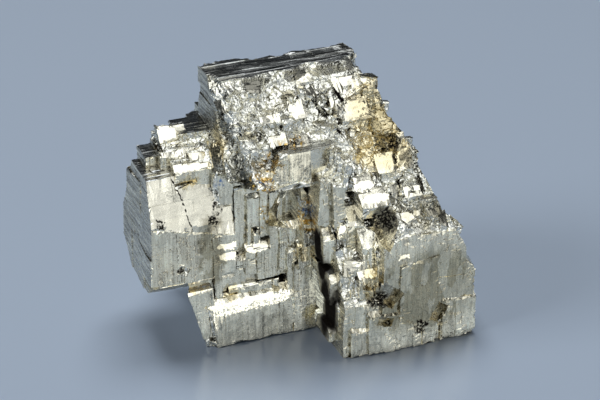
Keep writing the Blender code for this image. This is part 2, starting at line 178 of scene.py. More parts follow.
# The kinds of facet that aren't silver: the broken faces paler, the fronts a lighter silver as painted
# light and the tops a darker, greyer silver as painted shade
BASE = {"rough": PALE, "top": TOP_SHADED_SILVER, "front": FRONT_LIT_SILVER}
# Gold that comes and goes all over: its scale, where it starts and ends in the noise, and its most
GOLD_SCALE, GOLD_RANGE, GOLD_MOST = 0.16, (0.5, 0.75), 0.2

# Noise that frays the zones' outlines: its scale and how far it moves them, in millimetres
DRIFT = 0.8, 4.0
WAVE = 1.6, 0.8
RAGGED = 1.3, 1.8
CRACK_DRIFT = 1.4, 1.0

# Zones of colour: centre and radii of ellipsoids in the lattice
GOLD_ZONES = (
    ((15, -4, 45), (9, 9, 8)),
    ((14, -8, 38), (8, 8, 5)),
    ((7.5, -18, 15), (3, 4, 5)),
    ((-2.2, -8, 18.8), (2.8, 3, 3)),
    ((-18.0, -1, 43), (2.4, 4, 5)),
    ((-16.8, -5, 11), (1.8, 2, 2.2)),
    ((-23.4, -1, 35.2), (2.4, 2.5, 1.6)),
    ((-32.0, -3.4, 14.6), (3.6, 3.6, 1.2)),
    ((-26.0, -5.0, 14.0), (6.0, 2.0, 1.0)),
)
CREAM_ZONES = (((0.0, -8.9, 9.0), (3.0, 2.6, 7.5)),)
SPARKLE_ZONES = (
    ((-2.2, -8, 19.0), (2.8, 3, 3.2)),
    ((-5.2, -6.4, 26.8), (2.6, 2.8, 3)),
    ((-20.5, -6.9, 8), (2.2, 3, 7)),
    ((7, -19, 16), (5, 4, 9)),
    ((13.0, 7.0, 54.0), (3.0, 9.0, 3.0)),
    ((15.0, -5.0, 42.0), (8.0, 9.0, 9.0)),
)
# How many times as far the small faces lean in a sparkling zone
SPARKLE = {"front": 6.0, "top": 6.0, "plate": 9.0, "side": 1.5, "rough": 1.5}
# Zones of dull colour and painted shade have patches: their scale along a, b and c, their narrow range in
# the noise and least share
PATCH_SCALE, PATCH_RANGE, PATCH_LEAST = (0.32, 0.32, 0.13), (0.49, 0.51), 0.55
DULL_AND_SHADE_ZONES = (
    ((18, -21, 12.5), (17, 3.5, 11.5)),
    ((18.5, -18, 28), (6.5, 4, 4.5)),
    ((-20.4, -4.5, 21), (3.6, 3, 10)),
    ((15.5, -5, 43.5), (4.5, 5, 3.6)),
)
PIT_RANGE = 0.62, 0.50  # range of the speckle that is pitted
# Pits, painted black in speckles as the shade inside them: centre and radii
PIT_ZONES = (
    ((10.6, -17.0, 27.8), (3.2, 4.0, 3.2)),
    ((15.6, -9.4, 40.2), (2.2, 2.6, 2.0)),
    ((-5.2, -6.4, 26.8), (2.2, 2.6, 2.8)),
    ((8.8, -20.0, 12.0), (2.9, 2.4, 2.2)),
    ((17.6, -21.0, 4.4), (1.6, 1.6, 2.2)),
    ((-19.8, -4.0, 27.6), (1.3, 2.0, 2.0)),
    ((-18.6, -3.6, 29.6), (0.9, 1.4, 1.0)),
    ((-30.6, -4.2, 28.9), (1.4, 1.2, 1.0)),
)
# The crack's gap, painted black as the shade inside it: centre and radii
CRACK_ZONES = (
    ((-1.0, -11.3, 22.0), (2.4, 2.2, 4.5)),
    ((-0.6, -12.4, 17.5), (2.4, 2.6, 4.5)),
    ((0.6, -14.2, 9.0), (3.0, 3.8, 10.5)),
)
# Stains in the rust and blue zones: their scale and range in the noise
STAIN_SCALE, STAIN_RANGE = 1.3, (0.44, 0.60)
RUST_ZONES = (
    ((-12.4, -11, 37.6), (3.4, 3.2, 3.0)),
    ((-9.4, -9.0, 40.4), (3.2, 2.6, 2.0)),
    ((-5.0, -8.0, 43.2), (3.6, 2.2, 1.4)),
    ((-1.8, -8.5, 26.5), (2.6, 3.4, 5.0)),
    ((-9.0, -3.4, 27.0), (1.4, 2.0, 4.5)),
)
BLUE_ZONES = (
    ((-11.6, -11.4, 38.4), (2.0, 2.0, 1.8)),
    ((-2.0, -9.4, 28.6), (1.4, 2.2, 2.2)),
    ((-17.4, -3, 34.6), (1.0, 1.4, 1.2)),
)

# Cracks and grooves, painted black as the shade inside them: both ends in the lattice and the half width
CRACKS = (
    ((-26.9, -1.2, 36.3), (-25.5, -2.6, 32.4), 0.20),
    ((-25.5, -2.6, 32.4), (-24.3, -4.9, 26.7), 0.20),
    ((-27.7, -5.0, 26.4), (-27.3, -5.0, 15.1), 0.09),
    ((-25.7, -5.0, 26.4), (-25.5, -5.0, 19.9), 0.09),
    ((-15.5, -4.8, 16.5), (-11.0, -5.0, 16.5), 0.16),
    ((17.9, -21.1, 3.7), (18.1, -21.1, 0.4), 0.22),
    ((23.2, -21.0, 1.4), (29.0, -21.0, 0.4), 0.14),
    ((5.2, -0.4, 51.8), (7.8, -3.6, 47.4), 0.55),
    ((5.4, -6.6, 43.2), (9.6, -9.0, 39.6), 0.60),
)
# A smooth grey band down the left of the slope, in the same form
GREY_BAND = (
    ((-16.8, -0.3, 47.0), (-15.3, -7.9, 37.5), 1.7),
    ((-15.3, -7.9, 37.5), (-14.2, -10.6, 35.5), 1.5),
)

# Surface of each kind of facet: scale of its striations along a, b and c, their contrast and depth,
# depth of its grain, and roughness
SURFACES = {
    "front": ((5.0, 5.0, 0.07), 0.22, 0.012, 0.004, 0.20),
    "top": ((0.07, 3.2, 3.2), 0.6, 0.040, 0.004, 0.14),
    "side": ((3.2, 0.07, 3.2), 0.6, 0.045, 0.006, 0.25),
    "plate": ((0.3, 1.2, 1.2), 0.08, 0.002, 0.004, 0.22),
    "rough": ((1.0, 1.0, 1.0), 0.12, 0.010, 0.008, 0.25),
}

STRIPE_RANGE, STRIPE_BRIGHT = (0.3, 0.65), 1.05  # range of the striations in the noise and lightest tone
SPECKLE_SCALE = 2.6
BUMP_SCALE = 4 * MM  # height in metres of bumps whose depth is 1
# Gloss: range of the speckle, and the roughness below and above the facet's own; roughness of pits
GLOSS_RANGE, GLOSSIER, DULLER, PIT_ROUGHNESS = (0.35, 0.7), 0.06, 0.10, 0.9
# Painted shade in recesses, found by ambient occlusion: reach in millimetres, samples, and the openness at
# which it starts and is darkest
RECESS_REACH, RECESS_SAMPLES = 2.2, 6
RECESS_START = {"front": 0.40, "top": 0.50, "side": 0.50, "plate": 0.50, "rough": 0.50}
RECESS_END = 0.12

# Small crystal faces within a facet: scale of the cells along a, b and c, how far they lean and how
# much their tone differs
CELLS = {
    "front": (((0.55, 0.55, 0.20), 0.03, 0.16), ((3.0, 3.0, 0.25), 0.06, 0.12)),
    "top": (((0.12, 0.8, 0.8), 0.03, 0.3), ((0.5, 2.6, 2.6), 0.10, 0.3)),
    "side": (((0.8, 0.15, 0.8), 0.03, 0.15), ((2.6, 0.7, 2.6), 0.05, 0.2)),
    "plate": (((0.3, 0.3, 0.3), 0.01, 0.05), ((2.0, 2.0, 2.0), 0.02, 0.06)),
    "rough": (((1.4, 1.4, 1.4), 0.05, 0.10), ((3.6, 3.6, 3.6), 0.10, 0.10)),
}

# The fronts' normals lean back a little, and by more or less in some zones: centre and radii, lean
LEAN_BACK = (0.0, 0.0, 0.14)
LEANS = (
    (((-4.5, -11, 39.5), (6.0, 2.0, 5.5)), (0.0, 0.0, 0.16)),
    (((-3.6, -7.0, 8.0), (2.6, 2.0, 8.0)), (-0.25, 0.0, 0.08)),
    (((-26.0, -5.0, 19.0), (9.0, 2.0, 10.0)), (0.0, 0.0, 0.07)),
    (((20.0, -21.0, 1.0), (12.0, 2.0, 6.0)), (0.0, 0.0, 0.07)),
)

# Small plates that face the light: centre and radii. Bands of them: both ends and half width
GLINTS = (
    ((7.9, -14.0, 34.6), (2.3, 1.2, 0.8)),
    ((9.5, -16.0, 32.4), (3.2, 1.2, 0.9)),
    ((-16.8, -5.0, 19.4), (2.4, 1.5, 1.0)),
    ((-10.8, -4.6, 19.9), (2.8, 1.5, 1.1)),
    ((-17.2, -5.0, 21.7), (2.3, 1.5, 0.8)),
    ((-5.2, -4.0, 29.5), (1.8, 3.0, 1.0)),
    ((13.4, -20.6, 21.0), (1.3, 1.2, 0.6)),
)
GLINT_BANDS = (((-20.0, -6.9, 8.5), (-6.5, -6.9, 8.9), 1.5),)
# Range of the speckle in the bands, and their most
BAND_RANGE, BAND_MOST = (0.40, 0.58), 0.5
GLINT_NORMAL = (-0.02, -0.72, 0.69)
GLINT_STRENGTH = 8.0
CREAM_NORMAL = (-0.1, -0.90, 0.42)
CREAM_STRENGTH = 3.0

# Strips of the slope just under the top's edge that mirror as the top does: both ends and half width
SHELVES = (
    ((-12.2, 0.0, 53.2), (-6.8, 1.4, 52.8), 1.8),
    ((-2.0, 0.6, 53.4), (10.5, 1.5, 53.4), 1.7),
)
SHELF_NORMAL = (0.0, -0.12, 1.0)
SHELF_STRENGTH = 8.0
# Streaks of the top lean forward and so are bright: their zones, lean, scale and range in the noise
BRIGHT_STREAKS = (((-1, 4.0, 54), (15, 3.4, 3)),)
LEAN_FORWARD = (0.12, -0.30, 0.0)
STREAK_SCALE, STREAK_RANGE = (0.05, 1.6, 1.6), (0.42, 0.52)


def lattice_to_frame():
    return Matrix.Scale(MM, 4) @ Matrix.Translation(-CENTRE) @ Matrix.Rotation(LATTICE_TURN, 4, "Z")


def height_above(plane, point):
    normal, base = plane
    return (point - base).dot(normal.normalized())


class Facet:
    """One flat face of the cluster, in one or more mesh faces."""

    def __init__(self, faces):
        self.faces = faces
        self.normal = faces[0].normal.copy()
        self.area = sum(face.calc_area() for face in faces)
        weighted = (face.calc_center_median() * face.calc_area() for face in faces)
        self.centre = sum(weighted, Vector()) / self.area
        self.kind, along = self.classify()
        self.along = (along - self.normal * along.dot(self.normal)).normalized()
        self.across = self.normal.cross(self.along)

    def classify(self):
        """The facet's kind and, roughly, the direction of its striations."""
        aligned = None
        for kind, (axis, along) in ALIGNED.items():
            if aligned is None and self.normal.dot(axis) > ALONG_AXIS:
                aligned = kind, along
        near = any(abs(height_above(plane, self.centre)) < NEAR_BREAK for plane in BROKEN)
        bright = aligned is None and self.area > PLATE_AREA and self.normal.z > PLATE_RISE
        if near and not bright and self.area < BROKEN_AREA:
            return "rough", self.upward()
        if aligned:
            return aligned
        if self.area < SLIVER_AREA:
            return "rough", self.upward()
        return "plate", Vector((1, 0, 0)) if abs(self.normal.x) < 0.8 else Vector((0, 1, 0))

    def upward(self):
        """A direction near the vertical that is never quite the facet's normal."""
        return Vector((0, 0, 1)) + self.normal.yzx * 0.01


def find_facets(bm):
    """Groups neighbouring mesh faces that lie in one plane."""
    facets, seen = [], set()
    for first in bm.faces:
        if first in seen:
            continue
        seen.add(first)
        group, waiting = [], [first]
        while waiting:
            face = waiting.pop()
            group.append(face)
            for edge in face.edges:
                for other in edge.link_faces:
                    if other not in seen and other.normal.angle(first.normal, 0) < FACET_ANGLE:
                        seen.add(other)
                        waiting.append(other)
        facets.append(Facet(group))
    return facets


def inside(face, point, direction):
    """Whether a point of the face's plane lies inside its outline, counted along one direction."""
    side = face.normal.cross(direction)
    crossings = 0
    for edge in face.edges:
        a, b = edge.verts[0].co - point, edge.verts[1].co - point
        low, high = a.dot(direction), b.dot(direction)
        if (low > 0) != (high > 0):
            share = low / (low - high)
            crossings += a.dot(side) * (1 - share) + b.dot(side) * share > 0
    return crossings % 2 == 1


def split_face(face, direction, position):
    """Splits one face along the plane where direction has this position. Returns its parts."""
    for edge in list(face.edges):
        low, high = (vert.co.dot(direction) - position for vert in edge.verts)
        if min(abs(low), abs(high)) > TOUCH and (low > 0) != (high > 0):
            bmesh.utils.edge_split(edge, edge.verts[0], low / (low - high))
    line = face.normal.cross(direction)
    on_cut = [vert for vert in face.verts if abs(vert.co.dot(direction) - position) <= TOUCH]
    on_cut.sort(key=lambda vert: vert.co.dot(line))
    parts = [face]
    for first, second in zip(on_cut, on_cut[1:]):
        middle = (first.co + second.co) / 2
        for part in list(parts):
            if first not in part.verts or second not in part.verts or bm_edge(first, second):
                continue
            if inside(part, middle, direction + line * SKEW):
                parts.append(bmesh.utils.face_split(part, first, second)[0])
                break
    return parts


def bm_edge(first, second):
    return any(edge.other_vert(first) is second for edge in first.link_edges)


def cut(faces, direction, position):
    """Cuts the faces along the plane at this position; returns those below it and those above it."""
    below, above = [], []
    for face in faces:
        reach = [vert.co.dot(direction) - position for vert in face.verts]
        parts = [face]
        if min(reach) < -TOUCH and max(reach) > TOUCH:
            parts = split_face(face, direction, position)
        for part in parts:
            furthest = max((vert.co.dot(direction) - position for vert in part.verts), key=abs)
            (below if furthest < 0 else above).append(part)
    return below, above


def terrace(point):
    """Height of the low terraces of a front: flat tongues with ragged outlines, leaning to one side."""
    place = Vector((point.x + TERRACE_LEAN * point.z, point.y, TERRACE_SQUASH * point.z)) * TERRACE_SCALE
    level = noise.noise(place) + FRAY * noise.noise(place * FRAY_SCALE)
    return round(level * TERRACE_LEVELS) * TERRACE_STEP


class Block:
    """A part of a facet that stands a little in or out, with its own striations."""

    def __init__(self, facet, low, high, rng, pitch, depth, step):
        self.facet = facet
        self.offset = rng.uniform(-step, step)
        self.positions, self.heights = [low - 1], [0.0]
        position = low
        while position < high:
            position += pitch * math.exp(rng.gauss(0, PITCH_SPREAD))
            self.positions.append(position)
            self.heights.append(rng.uniform(-depth, depth))
        self.tilt = rng.gauss(0, BLOCK_TILT)
        self.middle = facet.centre.dot(facet.along)
        self.terraces = 0.0
        if facet.kind == "front":
            self.terraces = 1.0 if facet.centre.x > 0 else LEFT_TERRACES

    def height(self, point):
        place = point.dot(self.facet.across)
        index = min(max(bisect_right(self.positions, place), 1), len(self.positions) - 1)
        low, high = self.positions[index - 1], self.positions[index]
        share = min(max((place - low) / (high - low), 0), 1)
        ridge = self.heights[index - 1] * (1 - share) + self.heights[index] * share
        slope = self.tilt * (point.dot(self.facet.along) - self.middle)
        return self.offset + ridge + self.terraces * terrace(point) + slope


def split_into_blocks(facet, rng, longest, widest):
    """Cuts a facet again and again, leaving a narrow riser at each cut. Returns the blocks' faces."""
    done, waiting = [], [facet.faces]
    while waiting:
        faces = waiting.pop()
        if not faces:
            continue
        spans = []
        for direction, most in ((facet.along, longest), (facet.across, widest)):
            reach = [vert.co.dot(direction) for face in faces for vert in face.verts]
            spans.append((max(reach) - min(reach), min(reach), max(reach), direction, most))
        length, low, high, direction, most = max(spans, key=lambda span: span[0] / span[4])
        if length < most * rng.uniform(*CUT_FACTOR):
            done.append(faces)
            continue
        place = rng.uniform(low + CUT_MARGIN * length, high - CUT_MARGIN * length)
        below, above = cut(faces, direction, place)
        _, above = cut(above, direction, place + RISER)
        waiting += [below, above]
    return done


def cross_cut(faces, along, length, rng):
    """Cuts a strip across into pieces of roughly this length."""
    if not faces:
        return
    reach = [vert.co.dot(along) for face in faces for vert in face.verts]
    position = min(reach) + length * rng.uniform(*FIRST_PIECE)
    while position < max(reach) - LAST_PIECE * length:
        _, faces = cut(faces, along, position)
        position += length * rng.uniform(*NEXT_PIECE)


def striate(bm, facets, rng):
    """Cuts blocks and striations into the flat facets; returns the blocks, numbered on the mesh from 1."""
    number_of = bm.faces.layers.int["block"]
    blocks = []
    for facet in facets:
        if facet.kind == "rough":
            continue
        pitch, depth, step, longest, widest, length = STRIATIONS[facet.kind]
        for faces in split_into_blocks(facet, rng, longest, widest):
            reach = [vert.co.dot(facet.across) for face in faces for vert in face.verts]
            block = Block(facet, min(reach), max(reach), rng, pitch, depth, step)
            blocks.append(block)
            for face in faces:
                face[number_of] = len(blocks)
            rest = faces
            for position in block.positions[1:-1]:
                strip, rest = cut(rest, facet.across, position)
                cross_cut(strip, facet.along, length, rng)
            cross_cut(rest, facet.along, length, rng)
    return blocks


def displace_blocks(bm, blocks):
    """Moves each point in or out by its block's height, averaged where blocks of one facet meet."""
    number_of = bm.faces.layers.int["block"]
    moves = []
    for vert in bm.verts:
        heights = {}
        for face in vert.link_faces:
            if face[number_of]:
                block = blocks[face[number_of] - 1]
                found = heights.setdefault(id(block.facet), (block.facet.normal, []))[1]
                found.append(block.height(vert.co))
        move = Vector()
        for normal, found in heights.values():
            move += normal * sum(found) / len(found)
        moves.append((vert, move))
    for vert, move in moves:
        vert.co += move


def wear_edges(bm):
    """Chips the crystals' outer edges and opens the seams where one crystal grows out of another."""
    kind = bm.faces.layers.int["kind"]
    rough = SLOT_OF["rough"]
    moves = {}
    for edge in bm.edges:
        first, second = edge.link_faces
        if rough in (first[kind], second[kind]) or first.normal.angle(second.normal, 0) < EDGE_ANGLE:
            continue
        outward = (first.normal + second.normal).normalized()
        amount = CHIP_DEPTH if edge.is_convex else SEAM_DEPTH
        if first[kind] == second[kind] and first.normal.dot(second.normal) > SAME_WAY:
            amount *= SAME_WAY_WEAR
        for vert in edge.verts:
            moves[vert] = -outward * amount
    for vert, move in moves.items():
        chipped = noise.noise(vert.co * 1.1) * 1.3 + 0.5 * noise.noise(vert.co * 3.3)
        vert.co += move * min(max(LEAST_WEAR, chipped), 1.0)


def chip_rim(bm):
    """Breaks notches into the back edge of the top."""
    for vert in bm.verts:
        below, inside_by = max(TOP - vert.co.z, 0.0), min(height_above(BACK_BREAK, vert.co), 0.0)
        near = 1 - below / RIM_WIDTH + inside_by / RIM_WIDTH
        if near > 0:
            notch = noise.noise(Vector((vert.co.x * RIM_PITCH, 1.7, 0))) + 0.5 * noise.noise(vert.co * 1.1)
            vert.co.z -= near * RIM_DEPTH * max(notch, 0.0)


def warp(bm):
    """Bends the straight lines a little, as in a real cluster."""
    for vert in bm.verts:
        slow = noise.noise_vector(vert.co / SLOW_BEND)
        quick = noise.noise_vector(vert.co / QUICK_BEND)
        vert.co += slow * WARP + quick * WARP * QUICK_WARP


def remove_folds(bm):
    """Deletes triangles that lie back to back on the same three corners."""
    faces_at = {}
    for face in bm.faces:
        faces_at.setdefault(frozenset(face.verts), []).append(face)
    folds = [face for faces in faces_at.values() if len(faces) > 1 for face in faces]
    bmesh.ops.delete(bm, geom=folds, context="FACES")


def faces_of_kind(bm, name):
    kind = bm.faces.layers.int["kind"]
    return [face for face in bm.faces if face[kind] == SLOT_OF[name]]


def split_rough(bm):
    bmesh.ops.triangulate(bm, faces=faces_of_kind(bm, "rough"))
    remove_folds(bm)


def subdivide_rough(bm):
    """Splits the broken faces into small triangles, finer in front than behind.

    The edges are kept in the mesh's own order, as dictionary keys, so every run gives the same mesh.
    """
    for _ in range(SPLITS):
        split_rough(bm)
        long_edges = {}
        for face in faces_of_kind(bm, "rough"):
            hidden = face.normal.y > HIDDEN or face.normal.z < -HIDDEN
            cell = COARSE if hidden else FINE
            long_edges.update((edge, None) for edge in face.edges if edge.calc_length() > cell * SLACK)
        if not long_edges:
            break
        bmesh.ops.subdivide_edges(bm, edges=list(long_edges), cuts=1)
    split_rough(bm)


def chip_height(point):
    """Height of the broken surface at a point: flat chips, each with its own tilt and step."""
    height = 0
    for size, tilt, step in CHIPS:
        place = point / size
        seed = noise.voronoi(place)[1][0]
        lean = noise.cell_vector(seed * TILT_SEED) - Vector((0.5, 0.5, 0.5))
        height += tilt * size * (place - seed).dot(lean) + step * (noise.cell(seed * STEP_SEED) - 0.5) * 2
    return height


def crumple(bm):
    """Softens the broken faces a little and then breaks them into chips."""
    kind = bm.faces.layers.int["kind"]
    rough = SLOT_OF["rough"]
    loose, border = [], []
    for vert in bm.verts:
        count = sum(face[kind] == rough for face in vert.link_faces)
        if count == len(vert.link_faces):
            loose.append(vert)
        elif count:
            border.append(vert)
    for _ in range(SMOOTHING):
        bmesh.ops.smooth_vert(
            bm, verts=loose, factor=0.5, use_axis_x=True, use_axis_y=True, use_axis_z=True
        )
    bm.normal_update()
    for verts, share in ((loose, 1.0), (border, BORDER_SHARE)):
        moves = [(vert, vert.normal * chip_height(vert.co) * share) for vert in verts]
        for vert, move in moves:
            vert.co += move


def read_solid(source):
    """The solid in lattice coordinates, with its flat faces joined and each one's kind marked on it."""
    bm = bmesh.new()
    bm.from_mesh(source)
    bm.transform(lattice_to_frame().inverted())
    bmesh.ops.remove_doubles(bm, verts=bm.verts[:], dist=TOUCH)
    bmesh.ops.dissolve_limit(
        bm, angle_limit=FLAT_ANGLE, verts=bm.verts[:], edges=bm.edges[:], use_dissolve_boundaries=False
    )
    bm.faces.layers.int.new("block")
    bm.faces.layers.int.new("kind")
    kind = bm.faces.layers.int["kind"]
    facets = find_facets(bm)
    for facet in facets:
        for face in facet.faces:
            face[kind] = SLOT_OF[facet.kind]
    return bm, facets


def build_mesh(source):
    """The cluster as one fine mesh. The noise is seeded, since it would start from the clock otherwise."""
    noise.seed_set(SEED)
    bm, facets = read_solid(source)
    blocks = striate(bm, facets, random.Random(SEED))
    displace_blocks(bm, blocks)
    wear_edges(bm)
    subdivide_rough(bm)
    crumple(bm)
    chip_rim(bm)
    warp(bm)
    for vert in bm.verts:
        vert.co.z = max(vert.co.z, 0.0)
    bmesh.ops.triangulate(bm, faces=bm.faces[:])
    remove_folds(bm)
    kind = bm.faces.layers.int["kind"]
    for face in bm.faces:
        face.material_index = face[kind]
        face.smooth = False
    bm.transform(lattice_to_frame())
    mesh = bpy.data.meshes.new("pyrite")
    bm.to_mesh(mesh)
    bm.free()
    return mesh


def node_material(name):
    material = bpy.data.materials.new(name)
    material.use_nodes = True
    tree = material.node_tree
    return material, tree, tree.nodes["Principled BSDF"]


def add_camera():
    data = bpy.data.cameras.new("camera")
    data.lens = LENS
    data.sensor_width = SENSOR
    data.clip_start = CLIP_START
    camera = bpy.data.objects.new("camera", data)
    bpy.context.scene.collection.objects.link(camera)
    back = Vector((0, -math.cos(ELEVATION), math.sin(ELEVATION)))
    camera.location = TARGET + back * DISTANCE
    camera.rotation_euler = (-back).to_track_quat("-Z", "Y").to_euler()
    bpy.context.scene.camera = camera


def add_area(name, azimuth, elevation, reach, size, radiance, colour):
    """A rectangular softbox that looks at the object; azimuth 0 is on the camera's side."""
    azimuth, elevation = math.radians(azimuth), math.radians(elevation)
    flat = math.cos(elevation)
    away = Vector((math.sin(azimuth) * flat, -math.cos(azimuth) * flat, math.sin(elevation)))
    data = bpy.data.lights.new(name, "AREA")
    data.shape = "RECTANGLE"
    data.size, data.size_y = size
    data.energy = radiance * math.pi * size[0] * size[1]
    data.color = colour
    lamp = bpy.data.objects.new(name, data)
    bpy.context.scene.collection.objects.link(lamp)
    lamp.location = LIGHTS_AIM + away * reach
    lamp.rotation_euler = (-away).to_track_quat("-Z", "Y").to_euler()
    return lamp


def keep_off_floor(lamp):
    """Keeps the glow that the crystals would throw back onto the floor out of the contact shadow."""
    lamp.use_nodes = True
    g = Graph(lamp.node_tree)
    bounced = g.node("LightPath").outputs["Diffuse Depth"]
    g.set(lamp.node_tree.nodes["Emission"].inputs["Strength"], g.math("LESS_THAN", bounced, 0.5))


def add_lights():
    """Softboxes that the crystal faces mirror, and lamps that light the floor."""
    for name, azimuth, elevation, size, radiance in SOFTBOXES:
        softbox = add_area(name, azimuth, elevation, SOFTBOX_REACH, size, radiance, DAYLIGHT)
        softbox.visible_diffuse = False
        keep_off_floor(softbox.data)
    for name, azimuth, elevation, size, radiance in LAMPS:
        lamp = add_area(name, azimuth, elevation, LAMP_REACH, size, radiance, DAYLIGHT)
        lamp.visible_glossy = False


def add_world():
    world = bpy.data.worlds.new("studio")
    world.use_nodes = True
    background = world.node_tree.nodes["Background"]
    background.inputs["Color"].default_value = SKY
    background.inputs["Strength"].default_value = SKY_STRENGTH
    bpy.context.scene.world = world


def add_floor():
    bpy.ops.mesh.primitive_circle_add(
        vertices=96, radius=FLOOR_RADIUS, fill_type="NGON", location=(0, 0, -FLOOR_GAP)
    )
    floor = bpy.context.object
    floor.name = "floor"
    material, _, shader = node_material("floor_paper")
    shader.inputs["Base Color"].default_value = FLOOR_COLOUR
    shader.inputs["Roughness"].default_value = FLOOR_ROUGHNESS
    floor.data.materials.append(material)


class Graph:
    """Adds nodes to a material and wires them up; an input is a value or another node's output."""

    def __init__(self, tree):
        self.tree = tree

    def node(self, kind, inputs=None, **settings):
        node = self.tree.nodes.new("ShaderNode" + kind)
        for name, value in settings.items():
            setattr(node, name, value)
        for name, value in (inputs or {}).items():
            self.set(node.inputs[name], value)
        return node

    def set(self, socket, value):
        if isinstance(value, bpy.types.NodeSocket):
            self.tree.links.new(value, socket)
        else:
            socket.default_value = value

    def math(self, operation, a, b=0.0):
        return self.node("Math", {0: a, 1: b}, operation=operation).outputs[0]

    def ramp(self, value, low, high, start=0.0, end=1.0):
        """Maps low..high to start..end, smoothly and without going past either."""
        inputs = {"Value": value, "From Min": low, "From Max": high, "To Min": start, "To Max": end}
        return self.node("MapRange", inputs, interpolation_type="SMOOTHSTEP").outputs[0]

    def mix(self, share, a, b, blend="MIX"):
        node = self.node("Mix", data_type="RGBA", blend_type=blend)
        for socket, value in ((node.inputs[0], share), (node.inputs[6], a), (node.inputs[7], b)):
            self.set(socket, value)
        return node.outputs[2]

    def scaled(self, vector, scale):
        return self.node("VectorMath", {0: vector, 1: scale}, operation="MULTIPLY").outputs[0]

    def leaned(self, normal, direction, share):
        """The normal with a share of a direction added to it."""
        more = self.node("VectorMath", {0: direction, "Scale": share}, operation="SCALE").outputs[0]
        return self.node("VectorMath", {0: normal, 1: more}, operation="ADD").outputs[0]

    def normalised(self, vector):
        return self.node("VectorMath", {0: vector}, operation="NORMALIZE").outputs[0]

    def noise(self, vector, scale, detail=2.0):
        inputs = {"Vector": vector, "Scale": scale, "Detail": detail}
        return self.node("TexNoise", inputs).outputs["Fac"]

    def lattice(self):
        """Lattice coordinates in millimetres."""
        place = self.node("TexCoord").outputs["Object"]
        turn = Matrix.Rotation(-LATTICE_TURN, 3, "Z")
        inputs = {
            "Vector": place,
            "Location": turn @ CENTRE,
            "Rotation": (0, 0, -LATTICE_TURN),
            "Scale": (1 / MM, 1 / MM, 1 / MM),
        }
        return self.node("Mapping", inputs, vector_type="POINT").outputs[0]

    def drifting(self, vector, scale, reach):
        """The place moved about by noise, which gives outlines a ragged look."""
        drift = self.node("TexNoise", {"Vector": vector, "Scale": scale, "Detail": 4.0}).outputs["Color"]
        drift = self.node("VectorMath", {0: drift, 1: (0.5, 0.5, 0.5)}, operation="SUBTRACT").outputs[0]
        drift = self.scaled(drift, (reach, reach, reach))
        return self.node("VectorMath", {0: vector, 1: drift}, operation="ADD").outputs[0]

    def cells(self, vector, stretch, lean, tone):
        """Small faces within a facet: a lean to add to the normal and a tone to multiply the colour by."""
        inputs = {"Vector": self.scaled(vector, stretch), "Scale": 1.0}
        cell = self.node("TexVoronoi", inputs).outputs["Color"]
        off = self.node("VectorMath", {0: cell, 1: (0.5, 0.5, 0.5)}, operation="SUBTRACT").outputs[0]
        share = self.node("SeparateColor", {0: cell}).outputs[0]
        return self.scaled(off, (2 * lean,) * 3), self.ramp(share, 0.0, 1.0, 1.0 - tone, 1.0 + tone / 2)

    def blob(self, vector, centre, radii):
        """1 at the centre of an ellipsoid, falling to 0 at its surface."""
        moved = self.node("VectorMath", {0: vector, 1: centre}, operation="SUBTRACT").outputs[0]
        moved = self.scaled(moved, [1 / radius for radius in radii])
        distance = self.node("VectorMath", {0: moved}, operation="LENGTH").outputs["Value"]
        return self.ramp(distance, 1.0, 0.6)

    def crack(self, vector, start, end, width):
        """1 along a line between two points, falling to 0 at its width."""
        start, end = Vector(start), Vector(end)
        along = (end - start) / (end - start).length_squared
        off = self.node("VectorMath", {0: vector, 1: start}, operation="SUBTRACT").outputs[0]
        share = self.node("VectorMath", {0: off, 1: along}, operation="DOT_PRODUCT").outputs["Value"]
        share = self.math("MINIMUM", self.math("MAXIMUM", share, 0.0), 1.0)
        onto = self.node("VectorMath", {0: end - start, "Scale": share}, operation="SCALE").outputs[0]
        distance = self.node("VectorMath", {0: off, 1: onto}, operation="DISTANCE").outputs["Value"]
        return self.ramp(distance, width, 0.6 * width)

    def largest(self, values):
        total = values[0]
        for value in values[1:]:
            total = self.math("MAXIMUM", total, value)
        return total

    def blobs(self, vector, places):
        return self.largest([self.blob(vector, *place) for place in places])

    def cracks(self, vector, places):
        return self.largest([self.crack(vector, *place) for place in places])


class Fields:
    """Places and noises that the parts of a pyrite material share."""

    def __init__(self, g, stretch):
        self.place = g.lattice()
        self.drifting = g.drifting(self.place, *DRIFT)
        self.wavy = g.drifting(self.place, *WAVE)
        self.ragged = g.drifting(self.place, *RAGGED)
        self.stripes = g.noise(g.scaled(self.place, stretch), 1.0, detail=4.0)
        self.speckle = g.noise(self.place, SPECKLE_SCALE, detail=3.0)


